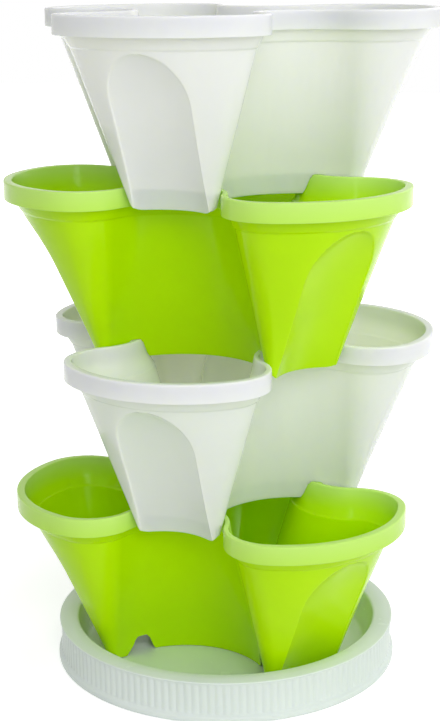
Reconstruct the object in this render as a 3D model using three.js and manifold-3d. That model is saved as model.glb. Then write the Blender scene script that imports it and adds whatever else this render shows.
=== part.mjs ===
// Vertical planter tower: a drip saucer and four three-lobed pots that stand one on another.
// Millimetres, +Z up. The origin is the centre of the saucer's underside.

import * as THREE from 'three';
import { mergeVertices } from 'three/addons/utils/BufferGeometryUtils.js';
import Module from 'manifold-3d';

const wasm = await Module();
wasm.setup();

// Driving dimensions of the stack
const TIER_PITCH = 140; // from one pot's seat to the next
const TIER_HEIGHT = 157.45; // from a pot's skirt edge to its rim
const GAP = 0.3; // between pieces that stand on each other
const SAUCER_FLOOR_TOP = 7.2;
const LOWEST_TIER_Z = SAUCER_FLOOR_TOP + GAP;
const SEAT_DEPTH = TIER_HEIGHT - TIER_PITCH; // how far a skirt reaches below the rim that carries it
const LOBES = 3;
const VALLEY_ANGLE = Math.PI / LOBES; // from a lobe's axis to the valley beside it

// A pot's plan is a trefoil of arcs. Each lobe has a tip arc centred on the lobe's axis and two corner
// arcs, and a hollow valley arc joins it to the next lobe. Centres are distances from the pot's axis.
const RIM = { tipRadius: 108, tipCentre: 81.8, cornerRadius: 43.7, valleyRadius: 44.7, valleyCentre: 119.9 };
const FOOT = { tipRadius: 95, tipCentre: 23.2, cornerRadius: 5, valleyRadius: 75.1, valleyCentre: 101.5 };

// Rim and steps, as depths below the rim and insets from the rim's outline at the tip and in the valley
const COLLAR_DEPTH = 16.15;
const COLLAR_WALL = 1.8;
const RIM_THICKNESS = 2;
const RIM_INNER = { tip: 7, valley: 4 };
const UNDER_COLLAR = { tip: 8, valley: 5 };
const STEP_DEPTH = 25.2;
const STEP_UPPER = { tip: 13, valley: 9 };
const STEP_DROP = 1.25;
const STEP_LOWER = { tip: 14.5, valley: 10.5 };
const WALL = 2;
const LEDGE_DEPTH = 25.5; // the inside has a small ledge behind the outer step
const LEDGE_DROP = 1.3;
const FLOOR_THICKNESS = 2.2;
const FLOOR_UNDERSIDE = SEAT_DEPTH + GAP;
const FLOOR_TOP = FLOOR_UNDERSIDE + FLOOR_THICKNESS;
const STEP_LOWER_Z = TIER_HEIGHT - STEP_DEPTH - STEP_DROP;

// The hollow down the front of each lobe: its depth is taken inwards from the lobe's front, and is
// greatest on the lobe's axis
const SCOOP_TOP_Z = TIER_HEIGHT - 27.4;
const SCOOP_DOME = 42; // height of the rounded top end
const SCOOP_DEPTH_FOOT = 18.7;
const SCOOP_DEPTH_TOP = 9.1;
const SCOOP_HALF_WIDTH_FOOT = 33.5;
const SCOOP_HALF_WIDTH_TOP = 36.5;
const SCOOP_LINER = 2.3; // wall behind it, measured inwards
const SCOOP_LINER_TOP = 1.5;
const SCOOP_BLOCK_HALF_SPAN = 44; // wider than the scoop
const SCOOP_COLUMNS = 8;
const SCOOP_DOME_SHARES = [0.5, 0.78, 0.94, 1]; // levels up the rounded end
const SCOOP_LEAST_SWELL = 0.12; // keeps the block's back finite at the very top of the dome

// The notches in a lobe's flanks that straddle the rim below, as distances from the axis
const NOTCH_TOP_INNER = 75.2;
const NOTCH_TOP_OUTER = 87.2;
const NOTCH_ELBOW_OUTER = 89.5; // the outer side turns steep here
const NOTCH_ELBOW_Z = 9;
const NOTCH_FOOT_INNER = 69;
const NOTCH_FOOT_OUTER = 95.5;
const NOTCH_HALF_SPAN = 50;

// The horns, a lobe's lower corners in front of the notches, are rounded as seen from the lobe's front
const HORN_RADIUS = 11;
const HORN_STEPS = 4;
const HORN_INNER = 92; // the rounding cuts what lies between these distances from the axis
const HORN_OUTER = 125;

const DRAIN_RADIUS = 3.5;
const DRAIN_DISTANCE = 42;
const DRAIN_SIDES = 10;

// Saucer
const SAUCER_RIM_RADIUS = 154.8;
const SAUCER_RIM_INNER_RADIUS = 137.4;
const SAUCER_HEIGHT = 37.4;
const SAUCER_WALL_RADIUS = 153.4;
const SAUCER_FOOT_RADIUS = 156.4;
const SAUCER_FOOT_WIDTH = 5.5;
const SAUCER_FOOT_HEIGHT = 2.4;
const SAUCER_WALL = 2.4;
const SAUCER_FLOOR_RADIUS = 130;
const SAUCER_FLOOR_BEVEL = 3; // between the floor and the sloping inner wall
const SAUCER_EDGE = 1.2; // small bevel on the rim
const SAUCER_FOOT_BEVEL = 0.6;
const SAUCER_STAND_RADIUS = 100; // ring under the floor that carries the tower
const SAUCER_STAND_WIDTH = 8;
const SAUCER_SEGMENTS = 60;

// Steps along each arc of half a lobe
const TIP_STEPS = 4;
const CORNER_STEPS = 4;
const VALLEY_STEPS = 4;

// How far cutting solids reach past what they cut
const OVERCUT = 1;
const BEYOND_LOBES = 230;

// The same plan moved inwards, by one distance at the tip and another in the valley
function inset(plan, { tip, valley }) {
  return {
    ...plan,
    tipRadius: plan.tipRadius - tip,
    cornerRadius: plan.cornerRadius - (tip + valley) / 2,
    valleyRadius: plan.valleyRadius + valley,
  };
}

function even(distance) {
  return { tip: distance, valley: distance };
}

function deeper({ tip, valley }, distance) {
  return { tip: tip + distance, valley: valley + distance };
}

function arcPoints(centre, radius, from, to, steps) {
  const points = [];
  for (let i = 0; i <= steps; i++) {
    const angle = from + ((to - from) * i) / steps;
    const step = new THREE.Vector2(Math.cos(angle), Math.sin(angle)).multiplyScalar(radius);
    points.push(step.add(centre));
  }
  return points;
}

// Centres of the arcs of half a lobe whose axis is +X
function arcCentres({ tipRadius, tipCentre, cornerRadius, valleyRadius, valleyCentre }) {
  const tip = new THREE.Vector2(tipCentre, 0);
  const valley = new THREE.Vector2(valleyCentre, 0).rotateAround(new THREE.Vector2(), VALLEY_ANGLE);
  const toValley = valley.clone().sub(tip);
  const span = toValley.length();
  const fromTip = tipRadius - cornerRadius;
  const fromValley = valleyRadius + cornerRadius;
  const along = (fromTip ** 2 - fromValley ** 2 + span ** 2) / (2 * span);
  const aside = Math.sqrt(fromTip ** 2 - along ** 2);
  const unit = toValley.divideScalar(span);
  const corner = tip
    .clone()
    .addScaledVector(unit, along)
    .add(new THREE.Vector2(unit.y, -unit.x).multiplyScalar(aside));
  return { tip, corner, valley };
}

// Plan of a pot as a closed ring of points, anticlockwise, with the first lobe's axis along +X
function trefoil(plan) {
  const { tipRadius, cornerRadius, valleyRadius } = plan;
  const { tip, corner, valley } = arcCentres(plan);
  const tipEnd = corner.clone().sub(tip).angle();
  const cornerEnd = valley.clone().sub(corner).angle();
  const half = [
    ...arcPoints(tip, tipRadius, 0, tipEnd, TIP_STEPS),
    ...arcPoints(corner, cornerRadius, tipEnd, cornerEnd, CORNER_STEPS).slice(1),
    ...arcPoints(valley, valleyRadius, cornerEnd + Math.PI, VALLEY_ANGLE + Math.PI, VALLEY_STEPS).slice(1),
  ];
  const mirrored = half
    .slice(1)
    .reverse()
    .map((p) => new THREE.Vector2(p.x, -p.y));
  const lobe = [...mirrored, ...half.slice(0, -1)];
  const origin = new THREE.Vector2();
  const ring = [];
  for (let i = 0; i < LOBES; i++) {
    for (const p of lobe) ring.push(p.clone().rotateAround(origin, (2 * Math.PI * i) / LOBES));
  }
  return ring;
}

function blend(ringA, ringB, share) {
  return ringA.map((p, i) => p.clone().lerp(ringB[i], share));
}

// Closed solid through rings of equal count, from the lowest level to the highest, with flat ends
function loft(levels) {
  const count = levels[0].ring.length;
  const positions = [];
  for (const { ring, z } of levels) {
    for (const p of ring) positions.push(p.x, p.y, z);
  }
  const last = levels.length - 1;
  const index = [];
  for (const [a, b, c] of THREE.ShapeUtils.triangulateShape(levels[0].ring, [])) {
    index.push(c, b, a);
  }
  for (const [a, b, c] of THREE.ShapeUtils.triangulateShape(levels[last].ring, [])) {
    index.push(last * count + a, last * count + b, last * count + c);
  }
  for (let i = 0; i < count; i++) {
    const next = (i + 1) % count;
    for (let k = 0; k < last; k++) {
      const a = k * count + i;
      const b = k * count + next;
      index.push(a, b, b + count, a, b + count, a + count);
    }
  }
  return bufferGeometry(positions, index);
}

function bufferGeometry(positions, index) {
  const geometry = new THREE.BufferGeometry();
  geometry.setAttribute('position', new THREE.Float32BufferAttribute(positions, 3));
  geometry.setIndex(index);
  return geometry;
}

function toSolid(geometry) {
  const bare = geometry.clone();
  bare.deleteAttribute('normal');
  bare.deleteAttribute('uv');
  const merged = mergeVertices(bare);
  const vertProperties = merged.attributes.position.array;
  return new wasm.Manifold(new wasm.Mesh({ numProp: 3, vertProperties, triVerts: merged.index.array }));
}

function toGeometry(solid) {
  const mesh = solid.getMesh();
  const geometry = bufferGeometry(Array.from(mesh.vertProperties), Array.from(mesh.triVerts));
  geometry.computeVertexNormals();
  return geometry;
}

function aroundLobes(geometry) {
  const turned = [];
  for (let i = 0; i < LOBES; i++) {
    turned.push(toSolid(geometry.clone().rotateZ((2 * Math.PI * i) / LOBES)));
  }
  return turned;
}

// Distance of a lobe's front from the pot's axis, at a height and at a distance aside of the lobe's axis
function lobeFront(z, side) {
  const front = ({ tipRadius, tipCentre }) => tipCentre + Math.sqrt(tipRadius ** 2 - side ** 2);
  return THREE.MathUtils.lerp(front(FOOT), front(inset(RIM, STEP_LOWER)), z / STEP_LOWER_Z);
}

// Block on the first lobe's axis whose back is the scoop's surface. With a liner it is the block grown
// inwards by the wall behind the scoop.
function scoopBlock(liner, topRise) {
  const top = SCOOP_TOP_Z + topRise;
  const domeStart = SCOOP_TOP_Z - SCOOP_DOME;
  const heights = [-OVERCUT, domeStart];
  for (const share of SCOOP_DOME_SHARES) heights.push(domeStart + share * (top - domeStart));
  const backAt = (z, side) => {
    const share = z / SCOOP_TOP_Z;
    const depth = THREE.MathUtils.lerp(SCOOP_DEPTH_FOOT, SCOOP_DEPTH_TOP, share);
    const halfWidth = THREE.MathUtils.lerp(SCOOP_HALF_WIDTH_FOOT, SCOOP_HALF_WIDTH_TOP, share);
    const climb = Math.max(0, (z - domeStart) / (top - domeStart));
    const swell = Math.sqrt(1 - climb ** 2);
    const shallower = (depth * (side / halfWidth) ** 2) / Math.max(swell, SCOOP_LEAST_SWELL);
    return lobeFront(z, side) - (depth + liner) * swell + shallower;
  };
  const levels = heights.map((z) => {
    const ring = [];
    for (let i = 0; i <= SCOOP_COLUMNS; i++) {
      const side = SCOOP_BLOCK_HALF_SPAN * ((2 * i) / SCOOP_COLUMNS - 1);
      ring.push([backAt(z, side), side, z]);
    }
    ring.push([BEYOND_LOBES, SCOOP_BLOCK_HALF_SPAN, z], [BEYOND_LOBES, -SCOOP_BLOCK_HALF_SPAN, z]);
    return ring;
  });
  return stackedRings(levels);
}

// Closed solid through rings of 3-D points that run clockwise seen from above, with fans as its ends
function stackedRings(levels) {
  const count = levels[0].length;
  const index = [];
  const last = levels.length - 1;
  const corner = count - 1; // the fans start here, outside every hollow stretch of the ring
  for (let i = 0; i < count; i++) {
    const next = (i + 1) % count;
    for (let k = 0; k < last; k++) {
      const a = k * count + i;
      const b = k * count + next;
      index.push(a, b + count, b, a, a + count, b + count);
    }
    if (i !== corner && next !== corner) {
      index.push(corner, i, next);
      index.push(last * count + corner, last * count + next, last * count + i);
    }
  }
  return bufferGeometry(levels.flat(2), index);
}

// Bar across a lobe's skirt that opens the two notches in its flanks
function notchBar() {
  const shape = new THREE.Shape([
    new THREE.Vector2(NOTCH_FOOT_INNER, -OVERCUT),
    new THREE.Vector2(NOTCH_FOOT_OUTER, -OVERCUT),
    new THREE.Vector2(NOTCH_ELBOW_OUTER, NOTCH_ELBOW_Z),
    new THREE.Vector2(NOTCH_TOP_OUTER, FLOOR_UNDERSIDE),
    new THREE.Vector2(NOTCH_TOP_INNER, FLOOR_UNDERSIDE),
  ]);
  const bar = new THREE.ExtrudeGeometry(shape, { depth: 2 * NOTCH_HALF_SPAN, bevelEnabled: false });
  return bar.translate(0, 0, -NOTCH_HALF_SPAN).rotateX(Math.PI / 2);
}

// What the rounding takes off one lower corner of a lobe. Its arc touches the skirt's edge and the flank.
function hornCut() {
  const halfWidth = (plan) => arcCentres(plan).corner.y + plan.cornerRadius;
  const footHalfWidth = halfWidth(FOOT);
  const lean = Math.atan2(halfWidth(inset(RIM, STEP_LOWER)) - footHalfWidth, STEP_LOWER_Z);
  const tangent = HORN_RADIUS / Math.tan((Math.PI / 2 + lean) / 2);
  const centre = new THREE.Vector2(footHalfWidth - tangent, HORN_RADIUS);
  const arc = arcPoints(centre, HORN_RADIUS, -Math.PI / 2, -lean, HORN_STEPS);
  const shape = new THREE.Shape([
    new THREE.Vector2(centre.x, -OVERCUT),
    ...arc,
    new THREE.Vector2(NOTCH_HALF_SPAN, arc[HORN_STEPS].y),
    new THREE.Vector2(NOTCH_HALF_SPAN, -OVERCUT),
  ]);
  const cut = new THREE.ExtrudeGeometry(shape, { depth: HORN_OUTER - HORN_INNER, bevelEnabled: false });
  return cut.rotateX(Math.PI / 2).rotateZ(Math.PI / 2).translate(HORN_INNER, 0, 0);
}

function drainHole() {
  const depth = 3 * FLOOR_THICKNESS;
  const hole = new THREE.CylinderGeometry(DRAIN_RADIUS, DRAIN_RADIUS, depth, DRAIN_SIDES);
  return hole.rotateX(Math.PI / 2).translate(DRAIN_DISTANCE, 0, FLOOR_UNDERSIDE + FLOOR_THICKNESS / 2);
}

function potGeometry() {
  const collarZ = TIER_HEIGHT - COLLAR_DEPTH;
  const channelTopZ = TIER_HEIGHT - RIM_THICKNESS;
  const rimRing = trefoil(RIM);
  const footRing = trefoil(FOOT);
  const stepLowerRing = trefoil(inset(RIM, STEP_LOWER));
  const outer = toSolid(
    loft([
      { ring: footRing, z: 0 },
      { ring: stepLowerRing, z: STEP_LOWER_Z },
      { ring: trefoil(inset(RIM, STEP_UPPER)), z: TIER_HEIGHT - STEP_DEPTH },
      { ring: trefoil(inset(RIM, UNDER_COLLAR)), z: collarZ },
      { ring: trefoil(inset(RIM, deeper(RIM_INNER, -WALL))), z: channelTopZ },
      { ring: trefoil(inset(RIM, even(COLLAR_WALL))), z: channelTopZ },
      { ring: trefoil(inset(RIM, even(COLLAR_WALL))), z: collarZ },
      { ring: rimRing, z: collarZ },
      { ring: rimRing, z: TIER_HEIGHT },
    ]),
  );

  // The inside follows the outside at one wall thickness
  const innerFootRing = trefoil(inset(FOOT, even(WALL)));
  const innerStepRing = trefoil(inset(RIM, deeper(STEP_LOWER, WALL)));
  const innerStepZ = TIER_HEIGHT - LEDGE_DEPTH - LEDGE_DROP;
  const innerRingAt = (z) => blend(innerFootRing, innerStepRing, z / innerStepZ);
  const innerCollarRing = trefoil(inset(RIM, deeper(UNDER_COLLAR, WALL)));
  const ledgeShare = (LEDGE_DEPTH - COLLAR_DEPTH) / (STEP_DEPTH - COLLAR_DEPTH);
  const ledgeRing = blend(innerCollarRing, trefoil(inset(RIM, deeper(STEP_UPPER, WALL))), ledgeShare);
  const inside = toSolid(
    loft([
      { ring: innerRingAt(FLOOR_TOP), z: FLOOR_TOP },
      { ring: innerStepRing, z: innerStepZ },
      { ring: ledgeRing, z: TIER_HEIGHT - LEDGE_DEPTH },
      { ring: innerCollarRing, z: collarZ },
      { ring: trefoil(inset(RIM, RIM_INNER)), z: TIER_HEIGHT },
      { ring: trefoil(inset(RIM, RIM_INNER)), z: TIER_HEIGHT + OVERCUT },
    ]),
  );
  const underFloor = toSolid(
    loft([
      { ring: innerRingAt(-OVERCUT), z: -OVERCUT },
      { ring: innerRingAt(FLOOR_UNDERSIDE), z: FLOOR_UNDERSIDE },
    ]),
  );

  const union = (solids) => solids.reduce((a, b) => a.add(b));
  const scoops = union(aroundLobes(scoopBlock(0, 0)));
  const liners = union(aroundLobes(scoopBlock(SCOOP_LINER, SCOOP_LINER_TOP)));
  const notches = union(aroundLobes(notchBar()));
  const rightHorns = union(aroundLobes(hornCut()));
  const leftHorns = rightHorns.mirror([0, 1, 0]);
  const drains = union(aroundLobes(drainHole()));
  return toGeometry(
    outer
      .subtract(scoops)
      .subtract(inside.subtract(liners))
      .subtract(underFloor.subtract(liners))
      .subtract(notches.subtract(liners))
      .subtract(rightHorns)
      .subtract(leftHorns)
      .subtract(drains),
  );
}

// Turned profile, from the middle of the floor's top over the hollow rim to the middle of its underside
function saucerGeometry() {
  const floorUnderside = SAUCER_FLOOR_TOP - SAUCER_WALL;
  const underRim = SAUCER_HEIGHT - SAUCER_WALL;
  const standInner = SAUCER_STAND_RADIUS - SAUCER_STAND_WIDTH / 2;
  const standOuter = SAUCER_STAND_RADIUS + SAUCER_STAND_WIDTH / 2;
  const profile = [
    [0, SAUCER_FLOOR_TOP],
    [SAUCER_FLOOR_RADIUS, SAUCER_FLOOR_TOP],
    [SAUCER_FLOOR_RADIUS + SAUCER_FLOOR_BEVEL, SAUCER_FLOOR_TOP + SAUCER_FLOOR_BEVEL],
    [SAUCER_RIM_INNER_RADIUS, SAUCER_HEIGHT - SAUCER_EDGE],
    [SAUCER_RIM_INNER_RADIUS + SAUCER_EDGE, SAUCER_HEIGHT],
    [SAUCER_RIM_RADIUS - SAUCER_EDGE, SAUCER_HEIGHT],
    [SAUCER_RIM_RADIUS, SAUCER_HEIGHT - SAUCER_EDGE],
    [SAUCER_WALL_RADIUS, SAUCER_HEIGHT - 2 * SAUCER_EDGE],
    [SAUCER_WALL_RADIUS, SAUCER_FOOT_HEIGHT + SAUCER_FOOT_BEVEL],
    [SAUCER_FOOT_RADIUS, SAUCER_FOOT_HEIGHT],
    [SAUCER_FOOT_RADIUS, 0],
    [SAUCER_FOOT_RADIUS - SAUCER_FOOT_WIDTH, 0],
    [SAUCER_WALL_RADIUS - SAUCER_WALL, underRim],
    [SAUCER_RIM_INNER_RADIUS + SAUCER_WALL, underRim],
    [SAUCER_FLOOR_RADIUS + SAUCER_FLOOR_BEVEL + SAUCER_WALL, SAUCER_FLOOR_TOP],
    [SAUCER_FLOOR_RADIUS + SAUCER_WALL / 2, floorUnderside],
    [standOuter, floorUnderside],
    [standOuter, 0],
    [standInner, 0],
    [standInner, floorUnderside],
    [0, floorUnderside],
  ].map(([radius, z]) => new THREE.Vector2(radius, z));
  return new THREE.LatheGeometry(profile.reverse(), SAUCER_SEGMENTS).rotateX(Math.PI / 2);
}

const whitePlastic = new THREE.MeshStandardMaterial({ color: 0xe3ebdd, roughness: 0.3, metalness: 0 });
const greenPlastic = new THREE.MeshStandardMaterial({ color: 0x9edb0a, roughness: 0.28, metalness: 0 });
const saucerPlastic = new THREE.MeshStandardMaterial({ color: 0xdfe9e1, roughness: 0.35, metalness: 0 });

const tower = new THREE.Group();

const saucer = new THREE.Mesh(saucerGeometry(), saucerPlastic);
saucer.name = 'saucer';
tower.add(saucer);

// Every second pot is turned by half the angle between lobes, so that its lobes stand over the
// valleys of the pot below. The white pots have a lobe towards -Y and the green ones towards +Y.
const tiers = [
  { name: 'tier_1_green', material: greenPlastic, turn: Math.PI / 2 },
  { name: 'tier_2_white', material: whitePlastic, turn: -Math.PI / 2 },
  { name: 'tier_3_green', material: greenPlastic, turn: Math.PI / 2 },
  { name: 'tier_4_white', material: whitePlastic, turn: -Math.PI / 2 },
];
const pot = potGeometry();
tiers.forEach(({ name, material, turn }, i) => {
  const mesh = new THREE.Mesh(pot, material);
  mesh.name = name;
  mesh.position.z = LOWEST_TIER_Z + TIER_PITCH * i;
  mesh.rotation.z = turn;
  tower.add(mesh);
});

export default tower;
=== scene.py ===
# Vertical planter tower: fine meshes and finishes for four three-lobed pots and their saucer.
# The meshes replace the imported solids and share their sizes, apart from a few small ones that
# follow the photograph more closely.

import math

import bpy
import numpy as np
from mathutils import Matrix, Vector
from mathutils.geometry import tessellate_polygon


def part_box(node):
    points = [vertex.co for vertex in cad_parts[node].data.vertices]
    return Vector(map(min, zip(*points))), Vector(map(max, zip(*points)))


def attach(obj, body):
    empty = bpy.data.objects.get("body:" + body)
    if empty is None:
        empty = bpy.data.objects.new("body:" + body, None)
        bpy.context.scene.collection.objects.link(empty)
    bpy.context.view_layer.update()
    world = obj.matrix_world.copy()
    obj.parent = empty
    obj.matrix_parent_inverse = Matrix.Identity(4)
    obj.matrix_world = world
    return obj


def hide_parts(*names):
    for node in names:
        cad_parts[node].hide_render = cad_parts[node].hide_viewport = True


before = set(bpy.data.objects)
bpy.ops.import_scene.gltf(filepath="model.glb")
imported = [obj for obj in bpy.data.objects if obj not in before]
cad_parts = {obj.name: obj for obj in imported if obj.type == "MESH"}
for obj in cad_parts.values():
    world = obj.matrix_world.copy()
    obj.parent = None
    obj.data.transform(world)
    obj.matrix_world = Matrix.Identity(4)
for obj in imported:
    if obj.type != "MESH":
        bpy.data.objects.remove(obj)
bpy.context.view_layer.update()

MM = 0.001  # sizes below are in millimetres, and meshes are in metres

# Each pot: its node, its body, its turn about the tower's axis and its material slot
POTS = [
    ("tier_1_green", "tier_1", math.pi / 2, "green_pot"),
    ("tier_2_white", "tier_2", -math.pi / 2, "white_pot"),
    ("tier_3_green", "tier_3", math.pi / 2, "green_pot"),
    ("tier_4_white", "tier_4", -math.pi / 2, "white_pot"),
]

# Sizes of one pot: its heights go up from its skirt's edge, and its depths down from its rim
POT_HEIGHT = (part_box("tier_1_green")[1].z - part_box("tier_1_green")[0].z) / MM
LOBES = 3
VALLEY_ANGLE = math.pi / LOBES
RIM = {
    "tip_radius": 108,
    "tip_centre": 81.8,
    "corner_radius": 43.7,
    "valley_radius": 44.7,
    "valley_centre": 119.9,
}
FOOT = {
    "tip_radius": 95,
    "tip_centre": 23.2,
    "corner_radius": 5,
    "valley_radius": 75.1,
    "valley_centre": 101.5,
}
WALL = 2
COLLAR_DEPTH = 16.15
COLLAR_WALL = 1.8
RIM_THICKNESS = 2
STEP_DEPTH = 25.2
STEP_DROP = 1.25
LEDGE_DEPTH = 25.5
LEDGE_DROP = 1.3
FLOOR_UNDERSIDE = 17.75
FLOOR_TOP = 19.95
SKIRT_ROUNDING = 0.5
NOTCH_SHARPNESS = 0.8  # share of that rounding which is gone at the top of a notch

# Insets from the rim's outline at a lobe's tip and in the valley
RIM_INNER = (7, 4)
UNDER_COLLAR = (8, 5)
STEP_UPPER = (13, 9)
STEP_LOWER = (14.5, 10.5)

# How far the ledge reaches from the collar to the step, and the heights where the walls begin
LEDGE_SHARE = (LEDGE_DEPTH - COLLAR_DEPTH) / (STEP_DEPTH - COLLAR_DEPTH)
STEP_LOWER_Z = POT_HEIGHT - STEP_DEPTH - STEP_DROP
INNER_STEP_Z = POT_HEIGHT - LEDGE_DEPTH - LEDGE_DROP

# The hollow down the front of each lobe
SCOOP_TOP_Z = POT_HEIGHT - 28.6
SCOOP_DOME = 42
SCOOP_DEPTH_FOOT = 18.7
SCOOP_DEPTH_TOP = 9.1
SCOOP_HALF_WIDTH_FOOT = 33.5
SCOOP_HALF_WIDTH_TOP = 36.5
SCOOP_LEAST_SWELL = 0.12
SCOOP_LINER = 2.3
SCOOP_LINER_TOP = 1.5
SCOOP_CREASE = 1.0  # how far the rounding of its edge reaches
SCOOP_CREASE_TOP = 1.6
SCOOP_CREASE_INSIDE = 4
SCOOP_STEP = 0.8  # small drop all round its edge
SCOOP_STEP_REACH = 0.8
DOME_START = SCOOP_TOP_Z - SCOOP_DOME
DOME_TURN_SHARE = 0.76  # above this share of the dome its edge runs more across than up
DOME_TURN = DOME_START + DOME_TURN_SHARE * SCOOP_DOME

# Notches in the skirt, as distances from the axis, and the rounded corners in front of them
NOTCH_TOP = 17.6
NOTCH_INNER = (69, 75.2)
NOTCH_OUTER = (95.5, 89.5, 87.2)
NOTCH_ELBOW = 9
NOTCH_ROUNDING = 3
HORN_RADIUS = 13
HORN_INNER = 92

DRAIN_RADIUS = 3.5
DRAIN_DISTANCE = 42
DRAIN_SIDES = 24

# Columns of the mesh over half a lobe: scoop, rest of the front, flank with its notch, valley
SCOOP_COLUMNS = 26
FRONT_COLUMNS = 20
FLANK_COLUMNS = 26
VALLEY_COLUMNS = 9
FLANK_END = 2.5
CROWDING = 1.6  # how much closer the columns stand beside the scoop's edge
NOTCH_END_GAP = 0.002

# How finely the scoop's edge, the skirt's edge and the notch's end are looked for
EDGE_SAMPLES = 2001
EDGE_ROWS = 60
SKIRT_SAMPLES = 481
NOTCH_END_SAMPLES = 501

# Rows of the mesh. Below the lowest band they follow the skirt's edge.
LOWEST_BAND = 24
BAND_SHARES = (0.8, 0.6, 0.4, 0.2, 0.07, 0)
INNER_BAND_SHARES = (0, 0.5, 0.9, 1)
INNER_WALL_ROWS = 9
INNER_DOME_ROWS = 15
OUTER_WALL_ROWS = 14
OUTER_DOME_ROWS = 31

# Across the skirt's lower edge: shares of the wall's thickness, each with a share of its rounding
EDGE_PROFILE = ((0.12, 0.3), (0.35, 0), (0.65, 0), (0.88, 0.3))

# Corners of a profile
CORNER_REACH = 0.45  # most of a side that the rounding of its corner takes
SMALL_CORNER = 1  # a radius below this needs fewer points
SMALL_CORNER_POINTS = 4
CORNER_POINTS = 6

# Edges that stay sharp in the shading, and triangles of the floor that are left out
SHARP_EDGE = math.radians(40)
FLAT_TRIANGLE = 1e-9

# Saucer
SAUCER_RIM_RADIUS = 154.8
SAUCER_RIM_INNER_RADIUS = 137.4
SAUCER_RIM_CROWN = 0.7
SAUCER_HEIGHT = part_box("saucer")[1].z / MM
SAUCER_WALL_RADIUS = 153.4
SAUCER_FOOT_RADIUS = 156.4
SAUCER_FOOT_WIDTH = 5.5
SAUCER_FOOT_HEIGHT = 4.6
SAUCER_WALL = 2.4
SAUCER_FLOOR_RADIUS = 130
SAUCER_FLOOR_TOP = 7.2
SAUCER_STAND_RADIUS = 100
SAUCER_STAND_WIDTH = 8
RIM_BEAD = 2.2
RIBS = 143
RIB_COLUMNS = 8
RIB_DEPTH = 0.9

# Finishes, by material slot. Colours are written as 0 to 255, and depths are in metres.
# The paler second colour is painted glow, standing in for light shining through thin plastic.
FINISHES = {
    "green_pot": {
        "name": "green_plastic",
        "body": (190, 236, 0),
        "painted_glow_colour": (196, 235, 120),
        "shade": (181, 228, 0),
        "roughness": 0.16,
        "glow": 0.35,
        "glow_depth": 0.002,
    },
    "white_pot": {
        "name": "white_plastic",
        "body": (246, 250, 238),
        "painted_glow_colour": (248, 250, 243),
        "shade": (241, 247, 231),
        "roughness": 0.16,
        "glow": 0.85,
        "glow_depth": 0.007,
    },
    "saucer": {
        "name": "dish_plastic",
        "body": (227, 235, 231),
        "painted_glow_colour": (227, 235, 231),
        "shade": (220, 229, 224),
        "roughness": 0.24,
        "glow": 0.25,
        "glow_depth": 0.002,
    },
}
PLASTIC_IOR = 1.49
PLASTIC_SPECULAR = 0.12
GLOW_RADIUS = (1.0, 1.0, 0.7)
BRIGHT = (1, 1, 1, 1)

# The camera, found by fitting the tower's outline to the photograph: metres, radians and pixels
CAMERA_TURN = math.radians(21.9)
CAMERA_DISTANCE = 1.31668
CAMERA_HEIGHT = 0.6227
CAMERA_PITCH = math.radians(14.73)
CAMERA_YAW = math.radians(-0.15)
CAMERA_ROLL = math.radians(-0.47)
FOCAL_PIXELS = 1515.24
PHOTO_HEIGHT = 721
SENSOR = 36

# Ground and light, in metres and watts
GROUND_SIZE = 12
GROUND_Z = -0.0003
GROUND_ROUGHNESS = 0.9
GROUND_LIFT = (0.5, 1.0)  # near the saucer and far from it
GROUND_LIFT_REACH = (0.25, 1.1)
WORLD_LIGHT = 0.48
LIGHT_DISTANCE = 3.2
LIGHT_SIZE = 1.6
LIGHT_AIM = (0, 0, 0.32)

# Each soft box: its name, its degrees right of the camera and upwards from the tower, its power
LIGHTS = [
    ("front", 9, 28, 39),
    ("front_right", 50, 18, 14),
    ("right", 90, 18, 10),
    ("back_right", 140, 22, 12),
]


def inset(plan, tip, valley):
    """The plan moved inwards, by one distance at the tip and another in the valley."""
    return {
        **plan,
        "tip_radius": plan["tip_radius"] - tip,
        "corner_radius": plan["corner_radius"] - (tip + valley) / 2,
        "valley_radius": plan["valley_radius"] + valley,
    }


FOOT_PLANS = {
    "outer": FOOT,
    "inner": inset(FOOT, WALL, WALL),
}
STEP_PLANS = {
    "outer": inset(RIM, *STEP_LOWER),
    "inner": inset(RIM, STEP_LOWER[0] + WALL, STEP_LOWER[1] + WALL),
}
STEP_HEIGHTS = {
    "outer": STEP_LOWER_Z,
    "inner": INNER_STEP_Z,
}


def arc_centres(plan):
    """Centres of the tip, corner and valley arcs of half a lobe whose axis is +X."""
    tip = np.array([plan["tip_centre"], 0.0])
    valley = plan["valley_centre"] * np.array([math.cos(VALLEY_ANGLE), math.sin(VALLEY_ANGLE)])
    to_valley = valley - tip
    span = np.hypot(*to_valley)
    from_tip = plan["tip_radius"] - plan["corner_radius"]
    from_valley = plan["valley_radius"] + plan["corner_radius"]
    along = (from_tip**2 - from_valley**2 + span**2) / (2 * span)
    aside = math.sqrt(from_tip**2 - along**2)
    unit = to_valley / span
    corner = tip + unit * along + np.array([unit[1], -unit[0]]) * aside
    return tip, corner, valley


def half_lobe(plan, u):
    """Points of half a lobe about +X: u runs to 1 on its tip, 2 on its corner, 3 in the valley."""
    tip, corner, valley = arc_centres(plan)
    tip_end = math.atan2(*(corner - tip)[::-1])
    corner_end = math.atan2(*(valley - corner)[::-1])
    arcs = [u <= 1, u <= 2]
    angle = np.select(
        arcs,
        [tip_end * u, tip_end + (corner_end - tip_end) * (u - 1)],
        corner_end + math.pi + (VALLEY_ANGLE - corner_end) * (u - 2),
    )
    centre = np.where(arcs[0][:, None], tip, np.where(arcs[1][:, None], corner, valley))
    radius = np.select(arcs, [plan["tip_radius"], plan["corner_radius"]], plan["valley_radius"])
    return centre + radius[:, None] * np.stack([np.cos(angle), np.sin(angle)], 1)


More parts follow.
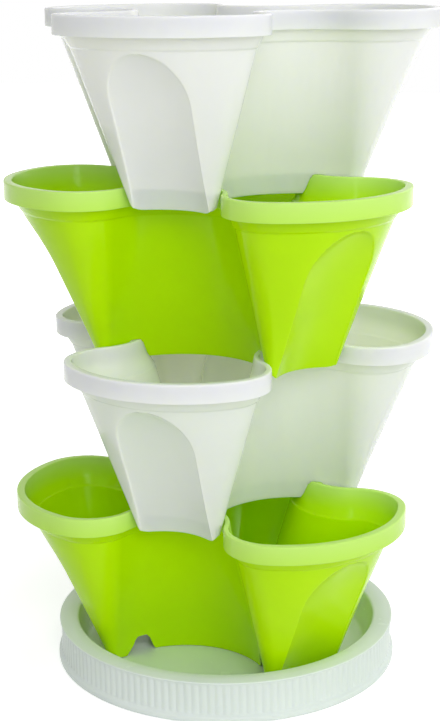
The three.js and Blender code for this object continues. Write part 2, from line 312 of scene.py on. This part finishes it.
def plain_wall(u, z, face="outer"):
    """The wall without its scoop, at heights z."""
    foot = half_lobe(FOOT_PLANS[face], u)
    step = half_lobe(STEP_PLANS[face], u)
    share = np.broadcast_to(z, len(u))[:, None] / STEP_HEIGHTS[face]
    return foot + (step - foot) * share


def scoop_back(z, side, liner=0.0, top_rise=0.0):
    """Distance of the scoop's surface from the pot's axis."""

    def front(plan):
        radius = plan["tip_radius"]
        return plan["tip_centre"] + np.sqrt(radius**2 - np.minimum(side**2, radius**2))

    lobe_front = front(FOOT) + (front(STEP_PLANS["outer"]) - front(FOOT)) * z / STEP_LOWER_Z
    share = z / SCOOP_TOP_Z
    depth = SCOOP_DEPTH_FOOT + (SCOOP_DEPTH_TOP - SCOOP_DEPTH_FOOT) * share
    half_width = SCOOP_HALF_WIDTH_FOOT + (SCOOP_HALF_WIDTH_TOP - SCOOP_HALF_WIDTH_FOOT) * share
    climb = np.clip((z - DOME_START) / (SCOOP_DOME + top_rise), 0, 1)
    swell = np.sqrt(1 - climb**2)
    shallower = depth * (side / half_width) ** 2 / np.maximum(swell, SCOOP_LEAST_SWELL)
    return lobe_front - (depth + liner) * swell + shallower


def scoop_edge():
    """Heights, and where on the wall's arcs the scoop's edge lies at each."""
    u = np.linspace(0, 2, EDGE_SAMPLES)
    heights = np.linspace(0, DOME_TURN, EDGE_ROWS)
    ends = []
    for z in heights:
        wall = plain_wall(u, z)
        ends.append(u[wall[:, 0] > scoop_back(z, wall[:, 1])].max())
    return heights, np.array(ends)


EDGE_HEIGHTS, EDGE_PLACES = scoop_edge()


def places(v, z):
    """Where the columns v stand on the arcs at heights z. Column 1 keeps to the scoop's edge."""
    edge = np.interp(z, EDGE_HEIGHTS, EDGE_PLACES)
    return np.select([v <= 1, v <= 2], [v * edge, edge + (v - 1) * (2 - edge)], v)


def columns():
    """Half a lobe's columns, with one on each side of the notch's steep inner end."""
    scoop = 1 - np.linspace(1, 0, SCOOP_COLUMNS + 1) ** CROWDING
    front = 1 + np.linspace(0, 1, FRONT_COLUMNS + 1)[1:] ** CROWDING
    flank = np.linspace(2, FLANK_END, FLANK_COLUMNS + 1)[1:]
    valley = np.linspace(FLANK_END, 3, VALLEY_COLUMNS + 1)[1:]
    u = np.linspace(2, 3, NOTCH_END_SAMPLES)
    notch_end = np.interp(-NOTCH_INNER[1], -plain_wall(u, NOTCH_TOP)[:, 0], u)
    notch_sides = [notch_end - NOTCH_END_GAP, notch_end + NOTCH_END_GAP]
    return np.sort(np.concatenate([scoop, front, flank, valley, notch_sides]))


def scooped(v, z, face="outer"):
    """Points of a wall on the columns v at heights z, with the scoop and its rounded edge."""
    z = np.broadcast_to(z, len(v))
    points = plain_wall(places(v, z), z, face)
    climb = np.clip((z - DOME_START) / SCOOP_DOME, 0, 1)
    if face == "outer":
        liner, top_rise = 0, 0
        crease = SCOOP_CREASE + (SCOOP_CREASE_TOP - SCOOP_CREASE) * climb
    else:
        liner, top_rise = SCOOP_LINER, SCOOP_LINER_TOP
        crease = SCOOP_CREASE_INSIDE
    wall = points[:, 0]
    back = scoop_back(z, points[:, 1], liner, top_rise)

    # A smooth minimum of the wall and the scoop, and outside a small step in from its edge
    near = np.maximum(crease - np.abs(wall - back), 0) / crease
    cut = np.minimum(wall, back) - near**2 * crease / 4
    if face == "outer":
        inside = np.clip((wall - back) / SCOOP_STEP_REACH, 0, 1)
        cut -= SCOOP_STEP * inside**2 * (3 - 2 * inside)
    points[:, 0] = np.where(z < SCOOP_TOP_Z + top_rise, cut, wall)
    return points


def in_notch(distance, z):
    """Whether points at such distances from the axis lie in a notch of the skirt."""
    inner = np.interp(z, [0, NOTCH_TOP], NOTCH_INNER)
    outer = np.interp(z, [0, NOTCH_ELBOW, NOTCH_TOP], NOTCH_OUTER)
    middle = (NOTCH_INNER[1] + NOTCH_OUTER[2]) / 2
    half = (NOTCH_OUTER[2] - NOTCH_INNER[1]) / 2
    beside = np.clip(np.abs(distance - middle) - (half - NOTCH_ROUNDING), 0, NOTCH_ROUNDING)
    top = NOTCH_TOP - NOTCH_ROUNDING + np.sqrt(NOTCH_ROUNDING**2 - beside**2)
    return (distance > inner) & (distance < outer) & (z < top)


def outside_horn(distance, side, z):
    """Whether points lie past the rounding of a lobe's lower corner, seen from its front."""
    plans = (FOOT, STEP_PLANS["outer"])
    half_widths = [arc_centres(plan)[1][1] + plan["corner_radius"] for plan in plans]
    lean = math.atan2(half_widths[1] - half_widths[0], STEP_LOWER_Z)
    centre = half_widths[0] - HORN_RADIUS / math.tan((math.pi / 2 + lean) / 2)
    past = np.maximum(side - centre, 0)
    outside_arc = past**2 + (z - HORN_RADIUS) ** 2 > HORN_RADIUS**2
    low_enough = z < HORN_RADIUS * (1 - math.sin(lean))
    return (distance > HORN_INNER) & (side > centre) & outside_arc & low_enough


def skirt_edge(v):
    """Height of the skirt's lower edge on each column, above its notches and rounded corners."""
    heights = np.linspace(0, LOWEST_BAND, SKIRT_SAMPLES)
    cut = []
    for z in heights:
        distance, side = scooped(v, z).T
        cut.append(in_notch(distance, z) | outside_horn(distance, side, z))
    cut = np.array(cut)
    highest = len(heights) - 1 - cut[::-1].argmax(0)
    return np.where(cut.any(0), heights[highest], 0)


def rounded(section):
    """A section's points, with an arc for each one whose last number, its radius, isn't 0."""
    points = [np.array(corner[:-1], float) for corner in section]
    radii = [corner[-1] for corner in section]
    result = []
    for i, (point, radius) in enumerate(zip(points, radii)):
        if radius == 0:
            result.append(point)
            continue
        ends = []
        for neighbour in (points[i - 1], points[i + 1]):
            side = neighbour - point
            length = np.linalg.norm(side)
            ends.append(point + side / length * min(radius, length * CORNER_REACH))
        start, end = ends
        steps = SMALL_CORNER_POINTS if radius < SMALL_CORNER else CORNER_POINTS
        for t in np.linspace(0, 1, steps):
            result.append((1 - t) ** 2 * start + 2 * t * (1 - t) * point + t**2 * end)
    return result


def rim_section():
    """The rim, from the ledge inside, over the top and behind the collar, to the step outside.

    The numbers are the insets at the tip and in the valley, the depth below the top, the share of
    painted glow (a paler colour for light through thin plastic), and the corner's radius.
    """
    ledge = []
    for collar, step in zip(UNDER_COLLAR, STEP_UPPER):
        ledge.append(collar + (step - collar) * LEDGE_SHARE + WALL)
    past_step = (STEP_LOWER[0] + 0.4, STEP_LOWER[1] + 0.4, STEP_DEPTH + STEP_DROP + 0.9)
    points = rounded([
        (STEP_LOWER[0] + WALL, STEP_LOWER[1] + WALL, LEDGE_DEPTH + LEDGE_DROP, 0, 0),
        (*ledge, LEDGE_DEPTH, 0, 2),
        (UNDER_COLLAR[0] + WALL, UNDER_COLLAR[1] + WALL, COLLAR_DEPTH, 0, 9),
        (RIM_INNER[0], RIM_INNER[1], 0, 1, 1.4),
        (0, 0, 0, 1, 1.6),
        (0, 0, COLLAR_DEPTH, 0.6, 0.7),
        (COLLAR_WALL, COLLAR_WALL, COLLAR_DEPTH, 0.6, 0.5),
        (COLLAR_WALL, COLLAR_WALL, RIM_THICKNESS, 0.6, 0),
        (RIM_INNER[0] - WALL, RIM_INNER[1] - WALL, RIM_THICKNESS, 0, 0),
        (UNDER_COLLAR[0], UNDER_COLLAR[1], COLLAR_DEPTH, 0, 3),
        (STEP_UPPER[0], STEP_UPPER[1], STEP_DEPTH, 0, 0.8),
        (STEP_LOWER[0], STEP_LOWER[1], STEP_DEPTH + STEP_DROP, 0, 0.6),
        (*past_step, 0, 0),
    ])
    return points[:-1]  # the last one only gives the corner before it a direction


def pot_rings():
    """Half a lobe's rings of points, from the floor over the rim to beneath, and their painted
    glow.
    """
    v = columns()
    rings = []

    def add(points, z, painted_glow=0.0):
        z = np.broadcast_to(z, len(points))
        rings.append((np.column_stack([points, z]), painted_glow))

    def quarter_wave(rows):
        return np.sin(np.linspace(0, math.pi / 2, rows)[1:])

    straight = np.linspace(FLOOR_TOP, DOME_START, INNER_WALL_ROWS)
    dome = DOME_START + (SCOOP_DOME + SCOOP_LINER_TOP) * quarter_wave(INNER_DOME_ROWS)
    for z in [*straight, *dome]:
        add(scooped(v, z, "inner"), z)

    u = places(v, DOME_TURN)
    for tip, valley, depth, painted_glow in rim_section():
        add(half_lobe(inset(RIM, tip, valley), u), POT_HEIGHT - depth, painted_glow)

    straight = np.linspace(LOWEST_BAND, DOME_START, OUTER_WALL_ROWS)
    dome = DOME_START + SCOOP_DOME * quarter_wave(OUTER_DOME_ROWS)
    for z in [*dome[::-1], *straight[::-1]]:
        add(scooped(v, z), z)

    edge = skirt_edge(v)
    rounding = SKIRT_ROUNDING * (1 - NOTCH_SHARPNESS * edge / NOTCH_TOP)
    low = edge + rounding
    for share in BAND_SHARES:
        z = low + (LOWEST_BAND - low) * share
        add(scooped(v, z), z)
    outer = scooped(v, low)
    through = scooped(v, low, "inner") - outer
    # The skirt's lower edge is fully painted with the paler glow colour
    for share, lift in EDGE_PROFILE:
        add(outer + through * share, edge + rounding * lift, 1)
    for share in INNER_BAND_SHARES:
        z = low + (FLOOR_UNDERSIDE - low) * share
        add(scooped(v, z, "inner"), z)
    return rings


def turned(points, turn):
    """Points in space, turned about the Z axis."""
    cos, sin = math.cos(turn), math.sin(turn)
    x, y, z = points.T
    return np.column_stack([x * cos - y * sin, x * sin + y * cos, z])


def full_ring(half):
    """A closed ring of three lobes about the axis, from the points of half a lobe."""
    mirrored = half[:0:-1] * [1, -1, 1]
    lobe = np.concatenate([mirrored, half[:-1]])
    return np.concatenate([turned(lobe, 2 * math.pi * i / LOBES) for i in range(LOBES)])


def drain_circle(index, z):
    centre = 2 * math.pi * index / LOBES
    turns = np.linspace(0, 2 * math.pi, DRAIN_SIDES, endpoint=False)
    x = DRAIN_DISTANCE * math.cos(centre) + DRAIN_RADIUS * np.cos(turns)
    y = DRAIN_DISTANCE * math.sin(centre) + DRAIN_RADIUS * np.sin(turns)
    return np.column_stack([x, y, np.full(DRAIN_SIDES, float(z))])


def floor_faces(points, outline, holes, upwards):
    """Triangles of a flat floor between its outline and its holes, all lists of point numbers."""
    loops = [outline, *holes]
    flat = [number for loop in loops for number in loop]
    faces = []
    for a, b, c in tessellate_polygon([[Vector(points[n]) for n in loop] for loop in loops]):
        face = [flat[a], flat[b], flat[c]]
        first, second, third = (points[n] for n in face)
        turn = np.cross(second - first, third - first)[2]
        if abs(turn) > FLAT_TRIANGLE:
            faces.append(face if (turn > 0) == upwards else face[::-1])
    return faces


def tube_faces(count, levels):
    """Quads between rings of count points, which run up the inside and down the outside."""
    faces = []
    for level in range(levels - 1):
        for i in range(count):
            after = (i + 1) % count
            a, b = level * count, (level + 1) * count
            faces.append((a + i, b + i, b + after, a + after))
    return faces


def new_object(name, data):
    made = bpy.data.objects.new(name, data)
    bpy.context.scene.collection.objects.link(made)
    return made


def make_mesh(name, points, faces, attributes=None):
    """A smooth-shaded object from points in millimetres, whose sharper edges stay sharp."""
    mesh = bpy.data.meshes.new(name)
    mesh.from_pydata((np.asarray(points) * MM).tolist(), [], faces)
    for key, values in (attributes or {}).items():
        attribute = mesh.attributes.new(key, "FLOAT", "POINT")
        attribute.data.foreach_set("value", np.asarray(values, np.float32))
    mesh.polygons.foreach_set("use_smooth", [True] * len(mesh.polygons))
    mesh.set_sharp_from_angle(angle=SHARP_EDGE)
    mesh.validate()
    return new_object(name, mesh)


def pot_shape():
    """Points, faces and painted glow of one pot, with a lobe along +X and its skirt's edge at 0."""
    halves, shares = zip(*pot_rings())
    rings = [full_ring(half) for half in halves]
    count = len(rings[0])
    points = list(np.concatenate(rings))
    faces = tube_faces(count, len(rings))
    painted_glow = list(np.repeat(shares, count))
    holes = {}
    for z in (FLOOR_TOP, FLOOR_UNDERSIDE):
        holes[z] = []
        for index in range(LOBES):
            start = len(points)
            points.extend(drain_circle(index, z))
            painted_glow.extend([0.0] * DRAIN_SIDES)
            holes[z].append(list(range(start, start + DRAIN_SIDES)))
    faces += floor_faces(points, list(range(count)), holes[FLOOR_TOP], True)
    last = (len(rings) - 1) * count
    faces += floor_faces(points, list(range(last, last + count)), holes[FLOOR_UNDERSIDE], False)
    for upper, lower in zip(holes[FLOOR_TOP], holes[FLOOR_UNDERSIDE]):
        for i in range(DRAIN_SIDES):
            after = (i + 1) % DRAIN_SIDES
            faces.append((upper[i], lower[i], lower[after], upper[after]))
    return np.array(points), faces, painted_glow


def make_pots(finishes):
    """The four pots, each turned and set on its level, and kept inside its node's box."""
    points, faces, painted_glow = pot_shape()
    for number, (node, body, turn, slot) in enumerate(POTS):
        low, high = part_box(node)
        placed = turned(points, turn) + [0, 0, low.z / MM]
        fit = [1]
        for k in (0, 1):
            fit.append(low[k] / MM / placed[:, k].min())
            fit.append(high[k] / MM / placed[:, k].max())
        placed[:, :2] *= min(fit)
        pot = make_mesh("pot_" + str(number + 1), placed, faces, {"painted_glow": painted_glow})
        pot.data.materials.append(finishes[slot])
        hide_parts(node)
        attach(pot, body)


def saucer_section():
    """The saucer's profile, from the floor over the rim to beneath.

    The numbers are the radius, the height, the share of the ribs' depth and the corner's radius.
    """
    rim_middle = (SAUCER_RIM_INNER_RADIUS + SAUCER_RIM_RADIUS) / 2
    bead = SAUCER_HEIGHT - RIM_BEAD
    beneath = SAUCER_FLOOR_TOP - SAUCER_WALL
    stand_outer = SAUCER_STAND_RADIUS + SAUCER_STAND_WIDTH / 2
    stand_inner = SAUCER_STAND_RADIUS - SAUCER_STAND_WIDTH / 2
    return rounded([
        (0, SAUCER_FLOOR_TOP, 0, 0),
        (SAUCER_FLOOR_RADIUS, SAUCER_FLOOR_TOP, 0, 5),
        (SAUCER_RIM_INNER_RADIUS, SAUCER_HEIGHT - SAUCER_RIM_CROWN, 0, 2.2),
        (rim_middle, SAUCER_HEIGHT + SAUCER_RIM_CROWN / 2, 0, 8),
        (SAUCER_RIM_RADIUS, SAUCER_HEIGHT - SAUCER_RIM_CROWN, 0, 1.4),
        (SAUCER_RIM_RADIUS, bead, 0, 0.5),
        (SAUCER_WALL_RADIUS, bead - 0.5, 0, 0.4),
        (SAUCER_WALL_RADIUS, bead - 1.2, 0, 0),
        (SAUCER_WALL_RADIUS, bead - 2.8, 1, 0),
        (SAUCER_WALL_RADIUS, SAUCER_FOOT_HEIGHT + 3.4, 1, 0),
        (SAUCER_WALL_RADIUS, SAUCER_FOOT_HEIGHT + 2.2, 0.3, 0.6),
        (SAUCER_FOOT_RADIUS, SAUCER_FOOT_HEIGHT, 0, 0.9),
        (SAUCER_FOOT_RADIUS, 0, 0, 0.9),
        (SAUCER_FOOT_RADIUS - SAUCER_FOOT_WIDTH, 0, 0, 0.4),
        (SAUCER_WALL_RADIUS - SAUCER_WALL - RIB_DEPTH, SAUCER_HEIGHT - SAUCER_WALL, 0, 1),
        (SAUCER_RIM_INNER_RADIUS + SAUCER_WALL, SAUCER_HEIGHT - SAUCER_WALL, 0, 1),
        (SAUCER_FLOOR_RADIUS + SAUCER_WALL, beneath, 0, 3),
        (stand_outer, beneath, 0, 0),
        (stand_outer, 0, 0, 0.6),
        (stand_inner, 0, 0, 0.6),
        (stand_inner, beneath, 0, 0),
        (0, beneath, 0, 0),
    ])


def make_saucer(finish):
    """The saucer, turned about +Z, with fine half-round upright ribs."""
    section = saucer_section()
    count = RIBS * RIB_COLUMNS
    turns = np.linspace(0, 2 * math.pi, count, endpoint=False)
    groove = 1 - np.abs(np.cos(turns * RIBS / 2))
    rings = []
    for radius, z, rib in section[1:-1]:
        r = radius - RIB_DEPTH * rib * groove
        rings.append(np.column_stack([r * np.cos(turns), r * np.sin(turns), np.full(count, z)]))
    middle = [[0, 0, section[0][1]], [0, 0, section[-1][1]]]
    points = np.concatenate([*rings, middle])
    faces = tube_faces(count, len(rings))
    last = (len(rings) - 1) * count
    top, bottom = len(rings) * count, len(rings) * count + 1
    for i in range(count):
        after = (i + 1) % count
        faces.append((top, i, after))
        faces.append((bottom, last + after, last + i))
    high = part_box("saucer")[1]
    points[:, 2] *= min(1, high.z / MM / points[:, 2].max())
    points[:, :2] *= min(1, high.x / MM / points[:, 0].max(), high.y / MM / points[:, 1].max())
    saucer = make_mesh("saucer_dish", points, faces)
    saucer.data.materials.append(finish)
    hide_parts("saucer")
    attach(saucer, "saucer")


class Nodes:
    """A short way to write the nodes of a material or of the world."""

    def __init__(self, owner):
        owner.use_nodes = True
        self.tree = owner.node_tree

    def add(self, kind, inputs=None, **settings):
        node = self.tree.nodes.new(kind)
        for key, value in settings.items():
            setattr(node, key, value)
        for key, value in (inputs or {}).items():
            self.set(node, key, value)
        return node

    def set(self, node, key, value):
        """Link one of the node's inputs to an output, or set its value."""
        if isinstance(value, bpy.types.NodeSocket):
            self.tree.links.new(value, node.inputs[key])
        else:
            node.inputs[key].default_value = value

    def fill(self, name, inputs):
        """Set the inputs of a node that is there from the start."""
        for key, value in inputs.items():
            self.set(self.tree.nodes[name], key, value)

    def place(self):
        return self.add("ShaderNodeTexCoord").outputs["Object"]

    def noise(self, scale, detail, stretch=None):
        place = self.place()
        if stretch:
            inputs = {0: place, 1: stretch}
            place = self.add("ShaderNodeVectorMath", inputs, operation="MULTIPLY").outputs[0]
        inputs = {"Vector": place, "Scale": scale, "Detail": detail}
        return self.add("ShaderNodeTexNoise", inputs).outputs["Fac"]

    def ranged(self, value, source, target):
        """The value carried from one range to another, and held inside it."""
        inputs = {
            "Value": value,
            "From Min": source[0],
            "From Max": source[1],
            "To Min": target[0],
            "To Max": target[1],
        }
        return self.add("ShaderNodeMapRange", inputs).outputs["Result"]

    def mix(self, share, first, second):
        inputs = {"Factor": share, "A": first, "B": second}
        return self.add("ShaderNodeMix", inputs, data_type="RGBA").outputs["Result"]

    def calculate(self, operation, first, second):
        return self.add("ShaderNodeMath", {0: first, 1: second}, operation=operation).outputs[0]

    def bump(self, inputs):
        return self.add("ShaderNodeBump", inputs).outputs["Normal"]

    def seen(self):
        """1 for what the camera sees, in gloss and through clear things too, and otherwise 0."""
        path = self.add("ShaderNodeLightPath")
        seen = path.outputs["Is Camera Ray"]
        for ray in ("Is Glossy Ray", "Is Transmission Ray"):
            seen = self.calculate("MAXIMUM", seen, path.outputs[ray])
        return seen


def srgb(red, green, blue):
    """A colour written as 0 to 255, as the linear one that the nodes take."""
    linear = []
    for value in (red, green, blue):
        share = value / 255
        linear.append(share / 12.92 if share <= 0.04045 else ((share + 0.055) / 1.055) ** 2.4)
    return (*linear, 1.0)


def plastic(name, body, painted_glow_colour, shade, roughness, glow, glow_depth):
    """Moulded plastic: cloudy, with faint flow lines, a satin grain, and painted glow on thin
    parts.
    """
    body, painted_glow_colour, shade = (srgb(*colour) for colour in (body, painted_glow_colour, shade))
    material = bpy.data.materials.new(name)
    n = Nodes(material)
    cloud = n.ranged(n.noise(scale=9, detail=3), (0.35, 0.7), (0, 1))
    flow = n.ranged(n.noise(scale=14, detail=4, stretch=(3, 3, 0.35)), (0.4, 0.75), (0, 0.35))
    tone = n.mix(cloud, body, shade)
    tone = n.mix(flow, tone, body)
    # Painted glow: where the mesh marks thin plastic, the colour turns paler, standing in for light
    # shining through it
    painted_glow = n.add("ShaderNodeAttribute", attribute_name="painted_glow").outputs["Fac"]
    satin = n.ranged(n.noise(scale=35, detail=5), (0.3, 0.7), (roughness - 0.02, roughness + 0.04))
    grain = n.noise(scale=2600, detail=2)
    waves = n.noise(scale=22, detail=1)
    fine = n.bump({"Height": grain, "Strength": 0.02, "Distance": 0.0002})
    soft = n.bump({"Height": waves, "Strength": 0.06, "Distance": 0.004, "Normal": fine})
    n.fill("Principled BSDF", {
        "Base Color": n.mix(painted_glow, tone, painted_glow_colour),
        "Roughness": satin,
        "Normal": soft,
        "IOR": PLASTIC_IOR,
        "Specular IOR Level": PLASTIC_SPECULAR,
        "Subsurface Weight": glow,
        "Subsurface Radius": GLOW_RADIUS,
        "Subsurface Scale": glow_depth,
    })
    return material


def floor_finish():
    """White ground that the camera sees as bright white, with the object's shadow kept on it."""
    material = bpy.data.materials.new("white_ground")
    n = Nodes(material)
    grain = n.ranged(n.noise(scale=60, detail=3), (0.3, 0.7), (0.93, 1.0))
    distance = n.add("ShaderNodeVectorMath", {0: n.place()}, operation="LENGTH").outputs["Value"]
    lift = n.ranged(distance, GROUND_LIFT_REACH, GROUND_LIFT)
    n.fill("Principled BSDF", {
        "Base Color": n.mix(grain, srgb(226, 228, 226), srgb(236, 238, 236)),
        "Roughness": GROUND_ROUGHNESS,
        "Emission Color": BRIGHT,
        "Emission Strength": n.calculate("MULTIPLY", n.seen(), lift),
    })
    return material


def make_ground():
    half = GROUND_SIZE / 2
    mesh = bpy.data.meshes.new("ground")
    corners = [(-half, -half), (half, -half), (half, half), (-half, half)]
    mesh.from_pydata([(x, y, GROUND_Z) for x, y in corners], [], [(0, 1, 2, 3)])
    mesh.materials.append(floor_finish())
    ground = new_object("ground", mesh)


def make_world():
    """Even light all round, and a background that the camera sees as plain white."""
    world = bpy.data.worlds.new("studio")
    bpy.context.scene.world = world
    n = Nodes(world)
    n.fill("Background", {"Color": BRIGHT, "Strength": WORLD_LIGHT})
    dim = n.tree.nodes["Background"].outputs[0]
    bright = n.add("ShaderNodeBackground", {"Color": BRIGHT}).outputs[0]
    mix = n.add("ShaderNodeMixShader", {0: n.seen(), 1: dim, 2: bright})
    n.fill("World Output", {"Surface": mix.outputs[0]})


def make_lights():
    """Soft boxes round the tower, placed by their turn from the camera."""
    aim = Vector(LIGHT_AIM)
    for name, turn, rise, power in LIGHTS:
        heading = CAMERA_TURN + math.radians(turn)
        rise = math.radians(rise)
        level = math.cos(rise)
        away = Vector((math.sin(heading) * level, -math.cos(heading) * level, math.sin(rise)))
        light = bpy.data.lights.new(name, "AREA")
        light.size = LIGHT_SIZE
        light.energy = power
        lamp = new_object(name, light)
        lamp.location = aim + away * LIGHT_DISTANCE
        lamp.rotation_euler = (-away).to_track_quat("-Z", "Y").to_euler()
        lamp.visible_camera = False


def make_camera():
    """The photograph's camera, from its place, turn, pitch, yaw and roll."""
    turn = CAMERA_TURN
    x, y = CAMERA_DISTANCE * math.sin(turn), -CAMERA_DISTANCE * math.cos(turn)
    place = Vector((x, y, CAMERA_HEIGHT))
    heading = CAMERA_YAW - turn
    forward = Vector((
        math.sin(heading) * math.cos(CAMERA_PITCH),
        math.cos(heading) * math.cos(CAMERA_PITCH),
        -math.sin(CAMERA_PITCH),
    ))
    level = Vector((math.cos(heading), -math.sin(heading), 0))
    upright = level.cross(forward)
    right = level * math.cos(CAMERA_ROLL) + upright * math.sin(CAMERA_ROLL)
    up = upright * math.cos(CAMERA_ROLL) - level * math.sin(CAMERA_ROLL)
    data = bpy.data.cameras.new("photo_camera")
    data.sensor_width = SENSOR
    data.lens = FOCAL_PIXELS * SENSOR / PHOTO_HEIGHT
    camera = new_object("photo_camera", data)
    rotation = Matrix((right, up, -forward)).transposed()
    camera.matrix_world = Matrix.Translation(place) @ rotation.to_4x4()
    bpy.context.scene.camera = camera


finishes = {slot: plastic(**look) for slot, look in FINISHES.items()}

make_pots(finishes)
make_saucer(finishes["saucer"])
make_ground()
make_world()
make_lights()
make_camera()

bpy.context.scene.view_settings.view_transform = "Standard"
